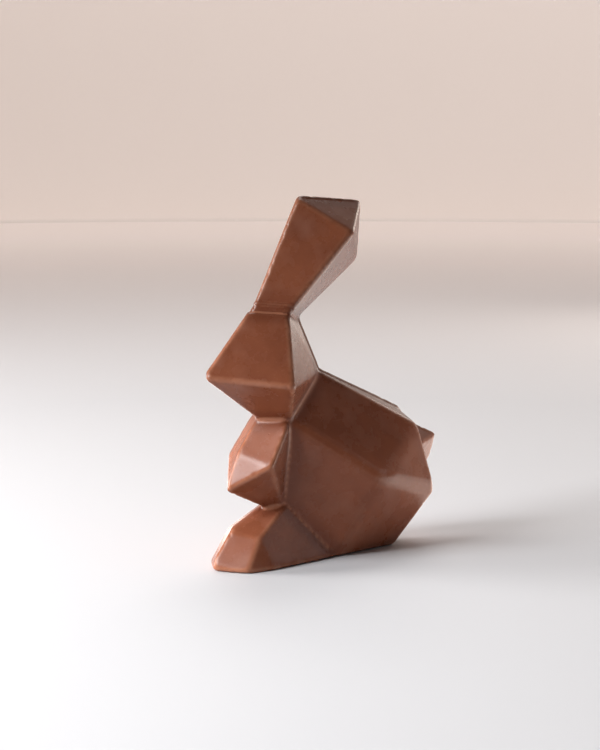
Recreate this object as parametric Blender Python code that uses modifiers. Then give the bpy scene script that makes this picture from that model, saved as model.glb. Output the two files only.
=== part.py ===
"""Faceted chocolate rabbit, sitting: two moulded halves joined along the middle plane, on a flat base.

The head points to -X, the tail to +X and the ears to +Z. The middle plane is XZ, and one half lies on each side
of it. Each form (ears, head, body, paws, feet, tail) is a block with flat sides that runs on into its neighbours,
so a crease is where the flats of two forms meet. Sizes are in millimetres and become metres in point().
"""

import bpy
import bmesh
from mathutils import Matrix, Vector

MM = 0.001

# Corners as (distance along X, distance out from the middle plane, height).
# Ears, moulded together as one block that widens to the back.
EAR_TIP_FRONT = (-8.7, 0, 170.2)
EAR_TIP_REAR = (31, 0, 166.5)
EAR_REAR = (28.7, 0, 138.7)
EAR_SIDE = (7.5, 23, 154)
EAR_BURIED = 12

# Where the ridges of the ears reach the head, which stands a little proud of them.
EAR_FOOT_FRONT = (-35.5, 0, 118.5)
EAR_FOOT_SIDE = (-22.4, 12.8, 117.5)

# Head, a wedge with its widest line at the cheeks.
BROW = (-37, 0, 118.1)
BROW_SIDE = (-22.8, 13.3, 117)
NOSE = (-63, 0, 89.8)
CHIN = (-31.5, 0, 68)
CHEEK = (-33.5, 31, 86.5)
NAPE = (-7, 0, 113.5)
NECK_BACK = (6.5, 0, 86.5)
SHOULDER = (-22, 13.5, 68.5)
HEAD_BURIED = 8

# Body, from the back ridge over the haunches to the base.
BACK_FRONT = (-5.5, 0, 93)
BACK_REAR = (55, 0, 65.5)
RUMP_SIDE = (56.5, 13.5, 58.5)
HAUNCH = (23.5, 27.5, 37.5)
HIP = (63.5, 18.5, 27)
CROTCH = (-20.5, 6.5, 27.5)
CROTCH_MIDDLE = (-26, 0, 26)
RUMP_TOP = (65, 0, 50)
RUMP = (70, 0, 27)
BASE_REAR = (52, 0, 0)
BASE_HIP = (46, 8, 0)
BASE_HAUNCH = (5, 12.5, 0)
BASE_FRONT = (-10, 4, 0)
BODY_BURIED = 2

# Forelegs and paws, one wedge held out in front of the body.
WRIST = (-43.4, 0, 53.2)
PAW_TIP = (-50.5, 0, 36)
PAW_NOTCH = (-27.6, 0, 26.2)
ELBOW = (-36.2, 17.6, 48.6)
UNDER_CHIN = (-33, 0, 67)
ARM_TOP = (-23.6, 15.3, 67.2)
PAW_BURIED = 8

# Feet, under the paws.
FOOT_TOP = (-47, 0, 17.8)
TOE_TOP = (-57.7, 0, 3.8)
TOE = (-58, 0, 0)
FOOT_SIDE = (-39.6, 12.6, 15.1)
TOE_SIDE = (-49, 15.6, 0)
FOOT_HEEL = (-33, 17, 0)
FOOT_EDGE_TOP = (-20.5, 7.4, 27.3)
FOOT_EDGE_BASE = (5, 13.5, 0)
FOOT_BURIED = 8

# Tail, a short wedge at the rump.
TAIL_TOP = (80.5, 0, 49.5)
TAIL_LOW = (75.5, 0, 36)
TAIL_ROOT_TOP = (50, 0, 63)
TAIL_ROOT_SIDE = (54, 11, 46)
TAIL_ROOT_LOW = (58, 0, 28)

# Rounding of the moulded ridges, from crisp on the middle line to soft on the haunch.
CRISP_ROUND = 1.1
SIDE_ROUND = 1.6
EAR_FRONT_ROUND = 2
LEDGE_ROUND = 0.8
HAUNCH_ROUND = 4
BASE_ROUND = 1.4
ROUND_STEPS = 3

# The far half was joined a little behind and above the near one, which runs on into it by the overlap.
FAR_HALF_BACK = 1.6
FAR_HALF_UP = 1.4
JOINT_OVERLAP = 0.2

# Clean-up: flats closer than this angle to one plane count as one, and points closer than this are one.
FLAT_ANGLE = 0.05
WELD = 0.03

# Milk chocolate.
CHOCOLATE_COLOUR = (0.115, 0.042, 0.022, 1)
CHOCOLATE_ROUGHNESS = 0.34


def point(corner):
    """A corner in metres."""
    return Vector(corner) * MM


def beyond(start, end, distance):
    """The corner past end on the line from start, so that a ridge runs on straight into the next form."""
    a = Vector(start)
    b = Vector(end)
    return tuple(b + (b - a).normalized() * distance)


def new_object(name, bm, collection):
    """An object from a bmesh, which is freed."""
    mesh = bpy.data.meshes.new(name)
    bmesh.ops.recalc_face_normals(bm, faces=bm.faces)
    bm.to_mesh(mesh)
    bm.free()
    obj = bpy.data.objects.new(name, mesh)
    collection.objects.link(obj)
    return obj


def block(name, corners, rounded, shift, collection):
    """A form with flat sides: the convex block round its corners on both sides of the middle plane.

    rounded gives the rounding of the ridges between two corners; any other ridge is buried and stays sharp.
    shift is how far back and up the corners are moved; those on the base only move back.
    """
    back, up = shift
    bm = bmesh.new()
    names = {}
    for key, corner in corners.items():
        sides = (-1, 1) if corner[1] else (1,)
        for side in sides:
            x, y, z = corner
            vert = bm.verts.new(point((x + back, y * side, z + up if z else 0)))
            names[vert] = key
    hull = bmesh.ops.convex_hull(bm, input=bm.verts)
    spare = {item for item in hull["geom_interior"] + hull["geom_unused"] if isinstance(item, bmesh.types.BMVert)}
    if spare:
        raise ValueError(name + " has a corner inside it: " + ", ".join(sorted(names[v] for v in spare)))
    bmesh.ops.dissolve_limit(bm, angle_limit=FLAT_ANGLE, verts=bm.verts, edges=bm.edges)
    weight = bm.edges.layers.float.new("bevel_weight_edge")
    widest = max(rounded.values())
    for edge in bm.edges:
        ends = tuple(names[vert] for vert in edge.verts)
        width = rounded.get(ends, rounded.get(ends[::-1], 0))
        edge[weight] = width / widest
    obj = new_object(name, bm, collection)
    bevel = obj.modifiers.new("Rounding", "BEVEL")
    bevel.limit_method = "WEIGHT"
    bevel.width = widest * MM
    bevel.segments = ROUND_STEPS
    return obj


def ears(shift, collection):
    corners = {
        "tip front": EAR_TIP_FRONT,
        "tip rear": EAR_TIP_REAR,
        "rear": EAR_REAR,
        "side": EAR_SIDE,
        "front end": beyond(EAR_TIP_FRONT, EAR_FOOT_FRONT, EAR_BURIED),
        "side end": beyond(EAR_SIDE, EAR_FOOT_SIDE, EAR_BURIED),
        "rear end": beyond(EAR_REAR, NAPE, EAR_BURIED),
    }
    rounded = {
        ("tip front", "tip rear"): CRISP_ROUND,
        ("tip rear", "rear"): CRISP_ROUND,
        ("tip front", "front end"): EAR_FRONT_ROUND,
        ("rear", "rear end"): CRISP_ROUND,
        ("side", "tip front"): CRISP_ROUND,
        ("side", "tip rear"): CRISP_ROUND,
        ("side", "rear"): CRISP_ROUND,
        ("side", "side end"): SIDE_ROUND,
    }
    return block("ears", corners, rounded, shift, collection)


def head(shift, collection):
    corners = {
        "brow": BROW,
        "nose": NOSE,
        "cheek": CHEEK,
        "brow side": BROW_SIDE,
        "nape": NAPE,
        "neck back": NECK_BACK,
        "chin end": beyond(NOSE, CHIN, HEAD_BURIED),
        "shoulder end": beyond(CHEEK, SHOULDER, HEAD_BURIED),
    }
    rounded = {
        ("brow", "nose"): SIDE_ROUND,
        ("brow", "brow side"): LEDGE_ROUND,
        ("nose", "chin end"): CRISP_ROUND,
        ("nape", "neck back"): CRISP_ROUND,
        ("nose", "cheek"): SIDE_ROUND,
        ("cheek", "brow side"): SIDE_ROUND,
        ("cheek", "neck back"): CRISP_ROUND,
        ("cheek", "shoulder end"): CRISP_ROUND,
    }
    return block("head", corners, rounded, shift, collection)


def body(shift, collection):
    corners = {
        "back front": BACK_FRONT,
        "back rear": BACK_REAR,
        "rump side": RUMP_SIDE,
        "haunch": HAUNCH,
        "hip": HIP,
        "rump top": RUMP_TOP,
        "rump": RUMP,
        "shoulder end": beyond(HAUNCH, SHOULDER, BODY_BURIED),
        "crotch": CROTCH,
        "crotch middle": CROTCH_MIDDLE,
        "base front": BASE_FRONT,
        "base haunch": BASE_HAUNCH,
        "base hip": BASE_HIP,
        "base rear": BASE_REAR,
    }
    rounded = {
        ("back front", "back rear"): CRISP_ROUND,
        ("back front", "rump side"): CRISP_ROUND,
        ("back rear", "rump side"): CRISP_ROUND,
        ("back rear", "rump top"): CRISP_ROUND,
        ("rump side", "rump top"): SIDE_ROUND,
        ("rump side", "hip"): SIDE_ROUND,
        ("rump top", "rump"): CRISP_ROUND,
        ("hip", "rump top"): SIDE_ROUND,
        ("hip", "rump"): SIDE_ROUND,
        ("hip", "base hip"): SIDE_ROUND,
        ("rump", "base rear"): CRISP_ROUND,
        ("haunch", "rump side"): HAUNCH_ROUND,
        ("haunch", "shoulder end"): HAUNCH_ROUND,
        ("haunch", "hip"): HAUNCH_ROUND,
        ("haunch", "base haunch"): HAUNCH_ROUND,
        ("base haunch", "base hip"): BASE_ROUND,
        ("base hip", "base rear"): BASE_ROUND,
    }
    return block("body", corners, rounded, shift, collection)


def paws(shift, collection):
    corners = {
        "wrist": WRIST,
        "paw tip": PAW_TIP,
        "elbow": ELBOW,
        "under chin": UNDER_CHIN,
        "arm top": ARM_TOP,
        "chin end": beyond(WRIST, CHIN, PAW_BURIED),
        "crotch end": beyond(ELBOW, CROTCH, PAW_BURIED),
        "notch end": beyond(PAW_TIP, PAW_NOTCH, PAW_BURIED),
    }
    rounded = {
        ("wrist", "under chin"): CRISP_ROUND,
        ("under chin", "arm top"): LEDGE_ROUND,
        ("wrist", "paw tip"): CRISP_ROUND,
        ("paw tip", "notch end"): CRISP_ROUND,
        ("elbow", "wrist"): CRISP_ROUND,
        ("elbow", "paw tip"): CRISP_ROUND,
        ("elbow", "arm top"): CRISP_ROUND,
        ("elbow", "crotch end"): CRISP_ROUND,
    }
    return block("paws", corners, rounded, shift, collection)


def feet(shift, collection):
    corners = {
        "foot top": FOOT_TOP,
        "foot side": FOOT_SIDE,
        "notch end": beyond(FOOT_TOP, PAW_NOTCH, FOOT_BURIED),
        "crotch end": beyond(FOOT_SIDE, CROTCH, FOOT_BURIED),
        "edge top": FOOT_EDGE_TOP,
        "toe top": TOE_TOP,
        "toe": TOE,
        "toe side": TOE_SIDE,
        "heel": FOOT_HEEL,
        "edge base": FOOT_EDGE_BASE,
    }
    rounded = {
        ("foot top", "notch end"): CRISP_ROUND,
        ("foot top", "toe top"): CRISP_ROUND,
        ("toe top", "toe"): CRISP_ROUND,
        ("toe top", "toe side"): SIDE_ROUND,
        ("foot top", "foot side"): CRISP_ROUND,
        ("foot side", "toe side"): CRISP_ROUND,
        ("foot side", "heel"): CRISP_ROUND,
        ("foot side", "edge top"): CRISP_ROUND,
        ("edge top", "edge base"): LEDGE_ROUND,
        ("toe", "toe side"): BASE_ROUND,
        ("toe side", "heel"): BASE_ROUND,
        ("heel", "edge base"): BASE_ROUND,
    }
    return block("feet", corners, rounded, shift, collection)


def tail(shift, collection):
    corners = {
        "top": TAIL_TOP,
        "low": TAIL_LOW,
        "root top": TAIL_ROOT_TOP,
        "root side": TAIL_ROOT_SIDE,
        "root low": TAIL_ROOT_LOW,
    }
    rounded = {
        ("top", "root top"): CRISP_ROUND,
        ("top", "low"): CRISP_ROUND,
        ("low", "root low"): CRISP_ROUND,
        ("top", "root side"): CRISP_ROUND,
        ("low", "root side"): CRISP_ROUND,
    }
    return block("tail", corners, rounded, shift, collection)


def fused(name, pieces, collection):
    """One solid from several that overlap, which are removed."""
    base = pieces[0]
    for other in pieces[1:]:
        union = base.modifiers.new("Join " + other.name, "BOOLEAN")
        union.operation = "UNION"
        union.solver = "EXACT"
        union.object = other
    bpy.context.view_layer.update()
    evaluated = base.evaluated_get(bpy.context.evaluated_depsgraph_get())
    mesh = bpy.data.meshes.new_from_object(evaluated)
    mesh.name = name
    for piece in pieces:
        bpy.data.objects.remove(piece, do_unlink=True)
    bm = bmesh.new()
    bm.from_mesh(mesh)
    bpy.data.meshes.remove(mesh)
    bmesh.ops.remove_doubles(bm, verts=bm.verts, dist=WELD * MM)
    bmesh.ops.dissolve_degenerate(bm, edges=bm.edges, dist=WELD * MM)
    return new_object(name, bm, collection)


def half(name, shift, overlap, collection):
    """The half of the rabbit at -Y, moved back and up by shift and cut flat at the overlap past the middle plane."""
    figure = fused(name, [make(shift, collection) for make in (body, head, ears, paws, feet, tail)], collection)
    bm = bmesh.new()
    bm.from_mesh(figure.data)
    everything = bm.verts[:] + bm.edges[:] + bm.faces[:]
    place = point((0, overlap, 0))
    cut = bmesh.ops.bisect_plane(bm, geom=everything, plane_co=place, plane_no=Vector((0, 1, 0)), clear_outer=True)
    rim = [item for item in cut["geom_cut"] if isinstance(item, bmesh.types.BMEdge)]
    bmesh.ops.contextual_create(bm, geom=rim)
    bpy.data.objects.remove(figure, do_unlink=True)
    return new_object(name, bm, collection)


def centred(obj):
    """Moves the mesh so that the origin is the middle of its box at the base."""
    xs, ys, zs = zip(*(vert.co for vert in obj.data.vertices))
    middle = Vector(((min(xs) + max(xs)) / 2, (min(ys) + max(ys)) / 2, min(zs)))
    obj.data.transform(Matrix.Translation(-middle))


def chocolate():
    material = bpy.data.materials.new("milk_chocolate")
    material.use_nodes = True
    shader = material.node_tree.nodes["Principled BSDF"]
    shader.inputs["Base Color"].default_value = CHOCOLATE_COLOUR
    shader.inputs["Roughness"].default_value = CHOCOLATE_ROUGHNESS
    shader.inputs["Metallic"].default_value = 0
    return material


def main():
    for obj in list(bpy.data.objects):
        bpy.data.objects.remove(obj, do_unlink=True)
    parts = bpy.data.collections.new("chocolate_bunny")
    bpy.context.scene.collection.children.link(parts)
    near = half("near half", (0, 0), JOINT_OVERLAP, parts)
    far = half("far half", (FAR_HALF_BACK, FAR_HALF_UP), 0, parts)
    far.data.transform(Matrix.Scale(-1, 4, Vector((0, 1, 0))))
    far.data.flip_normals()
    bunny = fused("bunny", [near, far], parts)
    centred(bunny)
    bunny.data.materials.append(chocolate())


main()
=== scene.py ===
"""Looks of the faceted chocolate rabbit: softened surface, chocolate, studio light and camera."""

import math

import bpy
import bmesh
import numpy as np
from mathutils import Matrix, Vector, noise


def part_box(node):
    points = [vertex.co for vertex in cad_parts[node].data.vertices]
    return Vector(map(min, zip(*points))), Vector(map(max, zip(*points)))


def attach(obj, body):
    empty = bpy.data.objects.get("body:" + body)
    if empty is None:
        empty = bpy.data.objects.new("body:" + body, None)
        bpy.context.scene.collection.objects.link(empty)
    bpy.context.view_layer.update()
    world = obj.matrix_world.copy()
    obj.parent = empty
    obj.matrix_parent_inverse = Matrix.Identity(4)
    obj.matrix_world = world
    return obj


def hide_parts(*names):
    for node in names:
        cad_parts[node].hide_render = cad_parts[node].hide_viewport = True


MM = 0.001

# Camera at the photograph's viewing angle: degrees round and above, distance and aim in metres, lens in mm.
CAMERA_ROUND = 38.6
CAMERA_ABOVE = 7.9
CAMERA_DISTANCE = 1.031
CAMERA_AIM = (-0.0154, 0, 0.0866)
CAMERA_LENS = 105.7
CAMERA_CLIP = 0.01

# Soft boxes: name, azimuth and height in degrees, size in metres, power in watts, colour.
BEHIND = 180 - CAMERA_ROUND
BOX_DISTANCE = 1.1
BOX_AIM = (0, 0, 0.08)
NEARLY_WHITE = (1, 0.99, 0.98)
COOL = (0.95, 0.98, 1)
COOLER = (0.92, 0.96, 1)
WARM = (1, 0.88, 0.78)
BOXES = [
    ("left_low", -134.6, 9, 0.55, 19.5, NEARLY_WHITE),
    ("left_front", -95.6, 31, 0.42, 15, COOL),
    ("back_high", BEHIND, 54, 0.55, 3.6, NEARLY_WHITE),
    ("right_low", 112, 11, 0.36, 1.1, WARM),
    ("right_front", 47, 14, 0.3, 0.45, COOLER),
]

# Light panels that lie on the table: name, azimuth in degrees, distance and size in metres, power in watts.
PANEL_HEIGHT = 2 * MM
PANEL_COLOUR = (1, 0.92, 0.84)
PANELS = [
    ("panel_left", -160, 0.3, 0.35, 1.9),
    ("panel_right", 66, 0.33, 0.46, 1.7),
]

# Faint light from all round.
SURROUND_COLOUR = (1, 0.96, 0.93, 1)
SURROUND_STRENGTH = 0.03

# Table top and the curved sheet behind it: radii and heights in metres, arc in degrees, and the tones.
TABLE_RADIUS = 2.4
TABLE_SIDES = 64
SHEET_RADIUS = TABLE_RADIUS - 0.1
SHEET_CURVE = 0.5
SHEET_CURVE_STEPS = 12
SHEET_TOP = 2.6
SHEET_ARC = 150
SHEET_ARC_STEPS = 48
TABLE_TONE = (0.65, 0.645, 0.66)
SHEET_TONE = (0.70, 0.68, 0.67)
STAGE_ROUGHNESS = 0.6

# Glow of the far table and the sheet: distances from the rabbit where it starts and where it is full.
GLOW_TONE = (0.82, 0.66, 0.58, 1)
GLOW_START = 0.5
GLOW_FULL = 2
GLOW_STRENGTH = 0.5

# Surface: the grid it is rebuilt on, how much it is evened there, and the share of triangles kept at the end.
WELD_DISTANCE = 0.01 * MM
GRID = 0.62 * MM
SOFTEN_STEPS = 4
SOFTEN_FACTOR = 0.5
KEPT_SHARE = 0.64

# Turn of the surface, in one over metres, that counts as a full ridge, pale ridge or crease, or as a corner.
FULL_RIDGE = 330
PALE_RIDGE = 210
FULL_CREASE = 200
CORNER_START = 420

# How far a crease, a corner, the painted shade of the hollows or a seam spreads, in grid steps, and how often
# the surface there is evened.
FILL_REACH = 4
CORNER_REACH = 3
HOLLOW_SHADE_REACH = 12
SEAM_REACH = 1
SPREAD_SHARE = 0.97
BLUR_STEPS = 3
EVEN_STEPS = 30

# Joint of the two halves: half width of the strip it lies in, and depth of the seam.
JOINT_WIDTH = 1.8 * MM
SEAM_DEPTH = 0.4 * MM

# Painted shade on the far half beside the joint, a darker rim: middle and half width.
RIM_PLACE = 1.2 * MM
RIM_WIDTH = 2 * MM

# Soft ridge down the side of the ear: upper end on the near half, and how far it is evened.
EAR_SIDE = (-0.0023, 0.023, 0.154)
EAR_SIDE_WIDTH = 3.6 * MM

# Groove and low bead at the ear's foot: ends of the line on the near half, half widths, depth and height.
EAR_FOOT_FRONT = (-0.0453, 0, 0.1185)
EAR_FOOT_SIDE = (-0.0322, 0.0128, 0.1175)
EAR_GROOVE_WIDTH = 1.1 * MM
EAR_GROOVE_DEPTH = 0.45 * MM
EAR_BEAD_UP = 4.2 * MM
EAR_BEAD_WIDTH = 0.9 * MM
EAR_BEAD_HEIGHT = 0.25 * MM

# Marks: waves of the moulded face, and chips along the ridges, which keep clear of the base.
WAVE_LENGTH = 17 * MM
WAVE_HEIGHT = 0.09 * MM
CHIP_LENGTH = 3.2 * MM
CHIP_DEPTH = 0.4 * MM
CHIP_START = 0.32
CHIP_CLEARANCE = 3 * MM
SEED_SHIFT = (7.3, 3.1, 5.7)

# Tones of the chocolate, with the pale colour for ridge wear and painted highlights, and the dark colour for
# painted shade in the hollows and for the seam.
CHOCOLATE = (0.215, 0.065, 0.031)
DARKER = (0.140, 0.038, 0.018)
WARMER = (0.262, 0.078, 0.033)
BLOOM = (0.330, 0.150, 0.100)
WORN_AND_HIGHLIT = (0.370, 0.150, 0.085)
HOLLOW_SHADE_AND_SEAM = (0.100, 0.024, 0.011)

# Noise textures: scale in one over metres, detail, roughness, distortion.
CLOUDS = (38, 4, 0.55, 0.4)
BLOTCHES = (75, 5, 0.6, 0)
STREAKS = (22, 2, 0.5, 0)
GRAIN = (700, 3, 0.6, 0)
SCRATCHES = (34, 1, 0.4, 0)
RIPPLES = (110, 2, 0.5, 0)

# Scratches are one noise squeezed across its length and turned.
SCRATCH_TURN = (0.3, 0.5, 0.9)
SCRATCH_SQUEEZE = (1, 34, 34)

# Tints: mask values where one starts and where it is full, and its share there.
CLOUD_TINT = (0.42, 0.72, 0.6)
STREAK_TINT = (0.50, 0.75, 0.6)
BLOTCH_TINT = (0.52, 0.80, 0.35)
GRAIN_TINT = (0.55, 0.80, 0.14)
SCRATCH_TINT = (0.68, 0.74, 0.2)
# The ridge tint is partly wear and partly a painted highlight, the hollow tint is painted shade, the crease
# tint is a painted highlight, and the rim tint is painted shade.
RIDGE_WEAR_AND_HIGHLIGHT_TINT = (0.1, 1, 0.7)
HOLLOW_SHADE_TINT = (0, 1, 0.6)
CREASE_HIGHLIGHT_TINT = (0.30, 0.75, 0.6)
RIM_SHADE_TINT = (0, 0.6, 0.6)
SEAM_TINT = (0.05, 0.5, 0.9)

# Ranges of a value in and the value out: patches of wear and painted highlight on the ridges, gloss, painted
# light and shade with height, and pin holes.
RIDGE_PATCHES_OF_WEAR_AND_HIGHLIGHT = (0.3, 0.6, 0.5, 1)
ROUGHNESS = (0.3, 0.75, 0.21, 0.35)
HEIGHT_LIGHT_AND_SHADE = (0.01, 0.165, 1.18, 0.60)
PIN_HOLE = (0.05, 0.12, 0, 1)
PIN_HOLE_SCALE = 260
SPECULAR_LEVEL = 0.25

# Heights of the finest relief, which is a bump in the material.
RIPPLE_HEIGHT = 0.06 * MM
GRAIN_HEIGHT = 0.012 * MM
PIN_HOLE_DEPTH = 0.04 * MM

# Sockets of a colour mix node, which share their names with its other kinds.
MIX_FIRST = 6
MIX_SECOND = 7
MIX_RESULT = 2


def direction(azimuth, height):
    a = math.radians(azimuth)
    e = math.radians(height)
    return Vector((math.sin(a) * math.cos(e), -math.cos(a) * math.cos(e), math.sin(e)))


def aimed(name, data, aim, back, distance):
    """A camera or light at a distance from what it is aimed at."""
    obj = bpy.data.objects.new(name, data)
    obj.location = Vector(aim) + back * distance
    obj.rotation_euler = (-back).to_track_quat("-Z", "Y").to_euler()
    bpy.context.scene.collection.objects.link(obj)
    return obj


def camera():
    """The photograph's camera."""
    data = bpy.data.cameras.new("camera")
    data.lens = CAMERA_LENS
    data.clip_start = CAMERA_CLIP
    back = direction(-CAMERA_ROUND, CAMERA_ABOVE)
    bpy.context.scene.camera = aimed("camera", data, CAMERA_AIM, back, CAMERA_DISTANCE)


def light(name, azimuth, height, distance, size, power, colour):
    """A square soft box aimed at the rabbit's middle."""
    data = bpy.data.lights.new(name, "AREA")
    data.size = size
    data.energy = power
    data.color = colour
    obj = aimed(name, data, BOX_AIM, direction(azimuth, height), distance)
    obj.visible_camera = False
    return obj


def table_panel(name, azimuth, distance, size, power):
    """A soft panel that lies on the table, faces up and lights the flats that face down."""
    panel = light(name, azimuth, 0, distance, size, power, PANEL_COLOUR)
    panel.location.z = PANEL_HEIGHT
    panel.rotation_euler = (math.pi, 0, 0)


def studio():
    """Soft light: boxes round the rabbit, panels on the table and a faint surround."""
    for name, azimuth, height, size, power, colour in BOXES:
        light(name, azimuth, height, BOX_DISTANCE, size, power, colour)
    for name, azimuth, distance, size, power in PANELS:
        table_panel(name, azimuth, distance, size, power)
    world = bpy.data.worlds.new("surround")
    bpy.context.scene.world = world
    world.use_nodes = True
    background = world.node_tree.nodes["Background"]
    background.inputs["Color"].default_value = SURROUND_COLOUR
    background.inputs["Strength"].default_value = SURROUND_STRENGTH
    bpy.context.scene.view_settings.view_transform = "Standard"


def glow(tree):
    """A faint warm glow that grows with the distance from the rabbit, so that the far table stays pale."""
    shader = tree.nodes["Principled BSDF"]
    shader.inputs["Emission Color"].default_value = GLOW_TONE
    distance = node_of(tree, "ShaderNodeVectorMath", operation="LENGTH")
    tree.links.new(tree.nodes.new("ShaderNodeTexCoord").outputs["Object"], distance.inputs[0])
    strength = ranged(tree, distance.outputs["Value"], GLOW_START, GLOW_FULL, 0, GLOW_STRENGTH)
    tree.links.new(strength, shader.inputs["Emission Strength"])


def staged(name, bm, tone):
    """A plain pale piece of the studio, which isn't part of the object."""
    bmesh.ops.recalc_face_normals(bm, faces=bm.faces)
    mesh = bpy.data.meshes.new(name)
    bm.to_mesh(mesh)
    bm.free()
    mesh.shade_smooth()
    obj = bpy.data.objects.new(name, mesh)
    bpy.context.scene.collection.objects.link(obj)
    material = bpy.data.materials.new(name)
    material.use_nodes = True
    shader = material.node_tree.nodes["Principled BSDF"]
    shader.inputs["Base Color"].default_value = (*tone, 1)
    shader.inputs["Roughness"].default_value = STAGE_ROUGHNESS
    glow(material.node_tree)
    mesh.materials.append(material)


def sheet_profile():
    """Radius and height along the sheet: a quarter circle up from just under the table, then straight up."""
    profile = [(SHEET_RADIUS, -MM)]
    for step in range(SHEET_CURVE_STEPS + 1):
        a = math.radians(90 * step / SHEET_CURVE_STEPS)
        profile.append((SHEET_RADIUS + SHEET_CURVE * math.sin(a), SHEET_CURVE * (1 - math.cos(a)) - MM))
    profile.append((SHEET_RADIUS + SHEET_CURVE, SHEET_TOP))
    return profile


def stage():
    """A pale round table top, and a pale sheet far behind it that rises in a curve."""
    bm = bmesh.new()
    bmesh.ops.create_circle(bm, cap_ends=True, segments=TABLE_SIDES, radius=TABLE_RADIUS)
    staged("floor", bm, TABLE_TONE)
    bm = bmesh.new()
    start = math.radians(BEHIND - SHEET_ARC / 2)
    verts = [bm.verts.new((r * math.sin(start), -r * math.cos(start), z)) for r, z in sheet_profile()]
    edges = [bm.edges.new(pair) for pair in zip(verts, verts[1:])]
    arc = math.radians(SHEET_ARC)
    line = verts + edges
    bmesh.ops.spin(bm, geom=line, cent=(0, 0, 0), axis=(0, 0, 1), angle=arc, steps=SHEET_ARC_STEPS)
    staged("backdrop", bm, SHEET_TONE)


class Surface:
    """A mesh's points with what is needed to move and measure them together."""

    def __init__(self, mesh):
        self.mesh = mesh
        self.count = len(mesh.vertices)
        flat = np.empty(self.count * 3)
        mesh.vertices.foreach_get("co", flat)
        self.places = flat.reshape(-1, 3)
        pairs = np.empty(len(mesh.edges) * 2, dtype=np.int32)
        mesh.edges.foreach_get("vertices", pairs)
        self.one, self.other = pairs.reshape(-1, 2).T
        self.share = self.total(np.ones(self.count))

    def total(self, values):
        """Sum of the neighbours' values at each point."""
        near = np.bincount(self.one, values[self.other], self.count)
        return near + np.bincount(self.other, values[self.one], self.count)

    def evened(self, values):
        """Mean of the neighbours' values at each point."""
        if values.ndim == 1:
            return self.total(values) / self.share
        return np.stack([self.evened(column) for column in values.T], axis=1)

    def blurred(self, values, steps):
        """Values moved halfway to their neighbours' mean, some times over."""
        for _ in range(steps):
            values = (values + self.evened(values)) / 2
        return values

    def spread(self, values, steps):
        """Values carried outwards to the points round them, each step a little weaker."""
        for _ in range(steps):
            highest = values.copy()
            np.maximum.at(highest, self.one, values[self.other] * SPREAD_SHARE)
            np.maximum.at(highest, self.other, values[self.one] * SPREAD_SHARE)
            values = highest
        return values

    def write(self):
        """Puts the points back into the mesh."""
        self.mesh.vertices.foreach_set("co", self.places.ravel())
        self.mesh.update()

    def normals(self):
        """Outward direction at each point."""
        self.write()
        flat = np.empty(self.count * 3)
        self.mesh.vertices.foreach_get("normal", flat)
        return flat.reshape(-1, 3)

    def turn(self):
        """How sharply the surface turns at each point: above nought on ridges, below it in creases."""
        normals = self.normals()
        step = self.places[self.other] - self.places[self.one]
        change = normals[self.other] - normals[self.one]
        bend = (change * step).sum(1) / (step * step).sum(1)
        value = np.bincount(self.one, bend, self.count) + np.bincount(self.other, bend, self.count)
        return self.blurred(value / self.share, 1)

    def keep(self, name, values):
        """Stores one value a point for the material."""
        layer = self.mesh.attributes.new(name, "FLOAT", "POINT")
        layer.data.foreach_set("value", values.astype(np.float32))


def settled(obj):
    """Replaces the piece's mesh by the outcome of its modifiers."""
    bpy.context.view_layer.update()
    evaluated = obj.evaluated_get(bpy.context.evaluated_depsgraph_get())
    before = obj.data
    done = bpy.data.meshes.new_from_object(evaluated)
    obj.modifiers.clear()
    obj.data = done
    bpy.data.meshes.remove(before)
    done.name = "moulded_bunny"
    done.shade_smooth()


def rebuilt(node):
    """A copy of the CAD node's shape on a fine even grid, with its edges evened a little."""
    mesh = node.data.copy()
    mesh.materials.clear()
    obj = bpy.data.objects.new("moulded_bunny", mesh)
    bpy.context.scene.collection.objects.link(obj)
    weld = obj.modifiers.new("Weld", "WELD")
    weld.merge_threshold = WELD_DISTANCE
    remesh = obj.modifiers.new("Remesh", "REMESH")
    remesh.mode = "VOXEL"
    remesh.voxel_size = GRID
    smooth = obj.modifiers.new("Soften", "SMOOTH")
    smooth.factor = SOFTEN_FACTOR
    smooth.iterations = SOFTEN_STEPS
    settled(obj)
    return obj


def lightened(obj):
    """Merges triangles where the surface is nearly flat, so that the piece stays light enough."""
    fewer = obj.modifiers.new("Fewer", "DECIMATE")
    fewer.ratio = KEPT_SHARE
    settled(obj)


def hump(distance, width):
    """A smooth hump of height one across a line, which ends at the width."""
    near = np.clip(1 - (distance / width) ** 2, 0, 1)
    return near * near


def waves(places, length, seed):
    """Smooth random heights between about minus one and one."""
    shift = Vector(SEED_SHIFT) * seed
    return np.array([noise.noise(Vector(p) / length + shift) for p in places])


def from_line(places, start, end):
    """Each point's distance from a line and its height above that line, alike on both halves."""
    a = np.array(start)
    b = np.array(end)
    mirrored = np.stack([places[:, 0], np.abs(places[:, 1]), places[:, 2]], axis=1)
    along = b - a
    t = np.clip(((mirrored - a) @ along) / (along @ along), 0, 1)
    away = mirrored - (a + t[:, None] * along)
    return np.linalg.norm(away, axis=1), away[:, 2]


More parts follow.
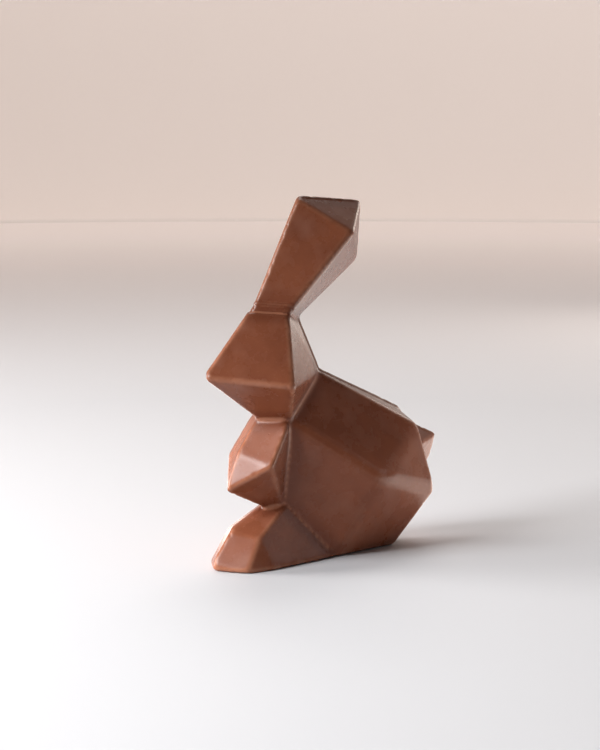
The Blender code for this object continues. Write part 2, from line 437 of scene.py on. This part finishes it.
def soften(surface):
    """Fills creases, rounds corners and the ear's side ridge, and leaves the joint of the halves sharp."""
    turn = surface.turn()
    away_from_joint = 1 - hump(np.abs(surface.places[:, 1]), JOINT_WIDTH)
    creases = surface.spread(np.clip(-turn / FULL_CREASE, 0, 1) * away_from_joint, FILL_REACH)
    corners = surface.spread(np.clip((turn - CORNER_START) / FULL_RIDGE, 0, 1), CORNER_REACH)
    distance, _ = from_line(surface.places, EAR_SIDE, EAR_FOOT_SIDE)
    weight = np.maximum(np.maximum(creases, corners), hump(distance, EAR_SIDE_WIDTH))
    weight = surface.blurred(weight, BLUR_STEPS)
    for _ in range(EVEN_STEPS):
        surface.places += (surface.evened(surface.places) - surface.places) * (weight / 2)[:, None]


def ear_foot(places):
    """Height of the groove and the low bead that run round the ear's foot."""
    distance, up = from_line(places, EAR_FOOT_FRONT, EAR_FOOT_SIDE)
    groove = hump(distance, EAR_GROOVE_WIDTH)
    bead = hump(distance - EAR_BEAD_UP, EAR_BEAD_WIDTH) * (up > 0)
    return bead * EAR_BEAD_HEIGHT - groove * EAR_GROOVE_DEPTH


def chips(places, ridge):
    """Depth of the small chips along the ridges."""
    rough = waves(places, CHIP_LENGTH, 2)
    depth = np.clip(rough - CHIP_START, 0, 1) * ridge * CHIP_DEPTH / (1 - CHIP_START)
    return depth * (places[:, 2] > CHIP_CLEARANCE)


def marked(obj, low, high):
    """Softens the surface, adds its seam and marks inside the given box, and measures it for the material."""
    surface = Surface(obj.data)
    soften(surface)
    places = surface.places
    normals = surface.normals()
    turn = surface.turn()
    ridge = np.clip(turn / FULL_RIDGE, 0, 1)
    seam = np.clip(-turn / FULL_CREASE, 0, 1) * hump(np.abs(places[:, 1]), JOINT_WIDTH)
    height = waves(places, WAVE_LENGTH, 1) * WAVE_HEIGHT
    height += ear_foot(places) - chips(places, ridge) - seam * SEAM_DEPTH
    surface.places = np.clip(places + normals * height[:, None], low, high)

    turn = surface.turn()
    crease = np.clip(-turn / FULL_CREASE, 0, 1)
    # Painted shade: a wide soft band spread out from the creases, darkened in the material.
    hollow_shade = surface.blurred(surface.spread(crease, HOLLOW_SHADE_REACH), HOLLOW_SHADE_REACH)
    # The ridge value pales the ridges in the material, partly as wear and partly as a painted highlight; the
    # crease value paints highlight lines in the creases.
    surface.keep("ridge", np.clip(turn / PALE_RIDGE, 0, 1))
    surface.keep("crease", crease)
    surface.keep("hollow_shade", hollow_shade)
    surface.keep("seam", surface.spread(seam, SEAM_REACH))
    # Painted shade on the far half beside the joint, a darker rim in the material.
    surface.keep("rim", hump(surface.places[:, 1] - RIM_PLACE, RIM_WIDTH))
    surface.write()


def node_of(tree, kind, **values):
    """A new node, with each value in the input of that name, or else in the setting of that name."""
    made = tree.nodes.new(kind)
    for name, value in values.items():
        if name in made.inputs:
            made.inputs[name].default_value = value
        else:
            setattr(made, name, value)
    return made


def noise_at(tree, where, texture):
    """Procedural noise, from its scale, detail, roughness and distortion."""
    scale, detail, roughness, distortion = texture
    made = node_of(tree, "ShaderNodeTexNoise", Scale=scale, Detail=detail, Roughness=roughness)
    made.inputs["Distortion"].default_value = distortion
    tree.links.new(where, made.inputs["Vector"])
    return made.outputs["Fac"]


def kept(tree, name):
    """A value that the surface keeps for the material."""
    return node_of(tree, "ShaderNodeAttribute", attribute_name=name).outputs["Fac"]


def ranged(tree, value, low, high, first, last):
    """A value that goes from first to last as the input goes from low to high."""
    made = tree.nodes.new("ShaderNodeMapRange")
    made.inputs["From Min"].default_value = low
    made.inputs["From Max"].default_value = high
    made.inputs["To Min"].default_value = first
    made.inputs["To Max"].default_value = last
    tree.links.new(value, made.inputs["Value"])
    return made.outputs["Result"]


def times(tree, a, b):
    """Product of two values."""
    made = node_of(tree, "ShaderNodeMath", operation="MULTIPLY")
    tree.links.new(a, made.inputs[0])
    tree.links.new(b, made.inputs[1])
    return made.outputs[0]


def mixed(tree, mask, tint, colour):
    """A colour mix node whose second colour takes its tint's share where the mask is full."""
    start, full, share = tint
    made = node_of(tree, "ShaderNodeMix", data_type="RGBA")
    tree.links.new(ranged(tree, mask, start, full, 0, share), made.inputs["Factor"])
    made.inputs[MIX_SECOND].default_value = (*colour, 1)
    return made


def tinted(tree, tone, mask, tint, colour):
    """The tone that comes in, mixed towards another colour."""
    made = mixed(tree, mask, tint, colour)
    tree.links.new(tone, made.inputs[MIX_FIRST])
    return made.outputs[MIX_RESULT]


def bumped(tree, height, distance, before=None):
    """A bump of a height in metres on top of the one before it."""
    made = tree.nodes.new("ShaderNodeBump")
    made.inputs["Strength"].default_value = 1
    made.inputs["Distance"].default_value = distance
    tree.links.new(height, made.inputs["Height"])
    if before is not None:
        tree.links.new(before, made.inputs["Normal"])
    return made.outputs["Normal"]


def scratches_at(tree, where):
    """Thin straight scratches, all one way."""
    lines = node_of(tree, "ShaderNodeMapping", Rotation=SCRATCH_TURN, Scale=SCRATCH_SQUEEZE)
    tree.links.new(where, lines.inputs["Vector"])
    return noise_at(tree, lines.outputs["Vector"], SCRATCHES)


def painted_height_shade(tree, tone, where):
    """The tone with painted light and shade by height: lighter towards the base and darker towards the ear's
    tip.
    """
    split = tree.nodes.new("ShaderNodeSeparateXYZ")
    tree.links.new(where, split.inputs[0])
    made = node_of(tree, "ShaderNodeVectorMath", operation="SCALE")
    tree.links.new(tone, made.inputs[0])
    tree.links.new(ranged(tree, split.outputs["Z"], *HEIGHT_LIGHT_AND_SHADE), made.inputs["Scale"])
    return made.outputs[0]


def chocolate_tone(tree, where, blotches, grain):
    """Clouds, streaks, blotches, grain and scratches; ridges paled partly by wear and partly by a painted
    highlight, painted highlight lines in the creases, painted shade in the hollows and on the far rim, a dark
    seam, and painted light and shade with height.
    """
    start = mixed(tree, noise_at(tree, where, CLOUDS), CLOUD_TINT, DARKER)
    start.inputs[MIX_FIRST].default_value = (*CHOCOLATE, 1)
    tone = start.outputs[MIX_RESULT]
    tone = tinted(tree, tone, noise_at(tree, where, STREAKS), STREAK_TINT, WARMER)
    tone = tinted(tree, tone, blotches, BLOTCH_TINT, BLOOM)
    tone = tinted(tree, tone, grain, GRAIN_TINT, BLOOM)
    tone = tinted(tree, tone, scratches_at(tree, where), SCRATCH_TINT, BLOOM)
    # Pale ridges, in patches: partly wear, partly a painted highlight.
    worn_and_highlit = times(tree, kept(tree, "ridge"), ranged(tree, blotches, *RIDGE_PATCHES_OF_WEAR_AND_HIGHLIGHT))
    tone = tinted(tree, tone, worn_and_highlit, RIDGE_WEAR_AND_HIGHLIGHT_TINT, WORN_AND_HIGHLIT)
    # Painted shade in the hollows round the creases.
    tone = tinted(tree, tone, kept(tree, "hollow_shade"), HOLLOW_SHADE_TINT, HOLLOW_SHADE_AND_SEAM)
    # Painted highlight: pale lines along the creases.
    tone = tinted(tree, tone, kept(tree, "crease"), CREASE_HIGHLIGHT_TINT, WORN_AND_HIGHLIT)
    # Painted shade: a darker rim on the far half beside the joint.
    tone = tinted(tree, tone, kept(tree, "rim"), RIM_SHADE_TINT, DARKER)
    tone = tinted(tree, tone, kept(tree, "seam"), SEAM_TINT, HOLLOW_SHADE_AND_SEAM)
    # Painted light and shade with height: lighter towards the base, darker towards the ear's tip.
    return painted_height_shade(tree, tone, where)


def chocolate_relief(tree, where, grain):
    """Ripples, grain and pin holes too fine for the mesh."""
    holes = node_of(tree, "ShaderNodeTexVoronoi", Scale=PIN_HOLE_SCALE, Randomness=1)
    tree.links.new(where, holes.inputs["Vector"])
    normal = bumped(tree, noise_at(tree, where, RIPPLES), RIPPLE_HEIGHT)
    normal = bumped(tree, grain, GRAIN_HEIGHT, normal)
    return bumped(tree, ranged(tree, holes.outputs["Distance"], *PIN_HOLE), PIN_HOLE_DEPTH, normal)


def chocolate():
    """Moulded milk chocolate with a satin gloss."""
    material = bpy.data.materials.new("milk_chocolate_moulded")
    material.use_nodes = True
    tree = material.node_tree
    shader = tree.nodes["Principled BSDF"]
    where = tree.nodes.new("ShaderNodeTexCoord").outputs["Object"]
    blotches = noise_at(tree, where, BLOTCHES)
    grain = noise_at(tree, where, GRAIN)
    tree.links.new(chocolate_tone(tree, where, blotches, grain), shader.inputs["Base Color"])
    tree.links.new(ranged(tree, blotches, *ROUGHNESS), shader.inputs["Roughness"])
    tree.links.new(chocolate_relief(tree, where, grain), shader.inputs["Normal"])
    shader.inputs["Specular IOR Level"].default_value = SPECULAR_LEVEL
    return material


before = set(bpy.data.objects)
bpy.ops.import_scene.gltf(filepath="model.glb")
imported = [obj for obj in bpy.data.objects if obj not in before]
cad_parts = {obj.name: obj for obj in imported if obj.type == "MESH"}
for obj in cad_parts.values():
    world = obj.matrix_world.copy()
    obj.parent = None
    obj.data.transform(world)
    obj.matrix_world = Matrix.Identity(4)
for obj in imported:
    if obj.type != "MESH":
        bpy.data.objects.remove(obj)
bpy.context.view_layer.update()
camera()
studio()
stage()
bunny = rebuilt(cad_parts["bunny"])
marked(bunny, *[np.array(corner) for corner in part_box("bunny")])
lightened(bunny)
bunny.data.materials.append(chocolate())
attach(bunny, "root")
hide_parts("bunny")
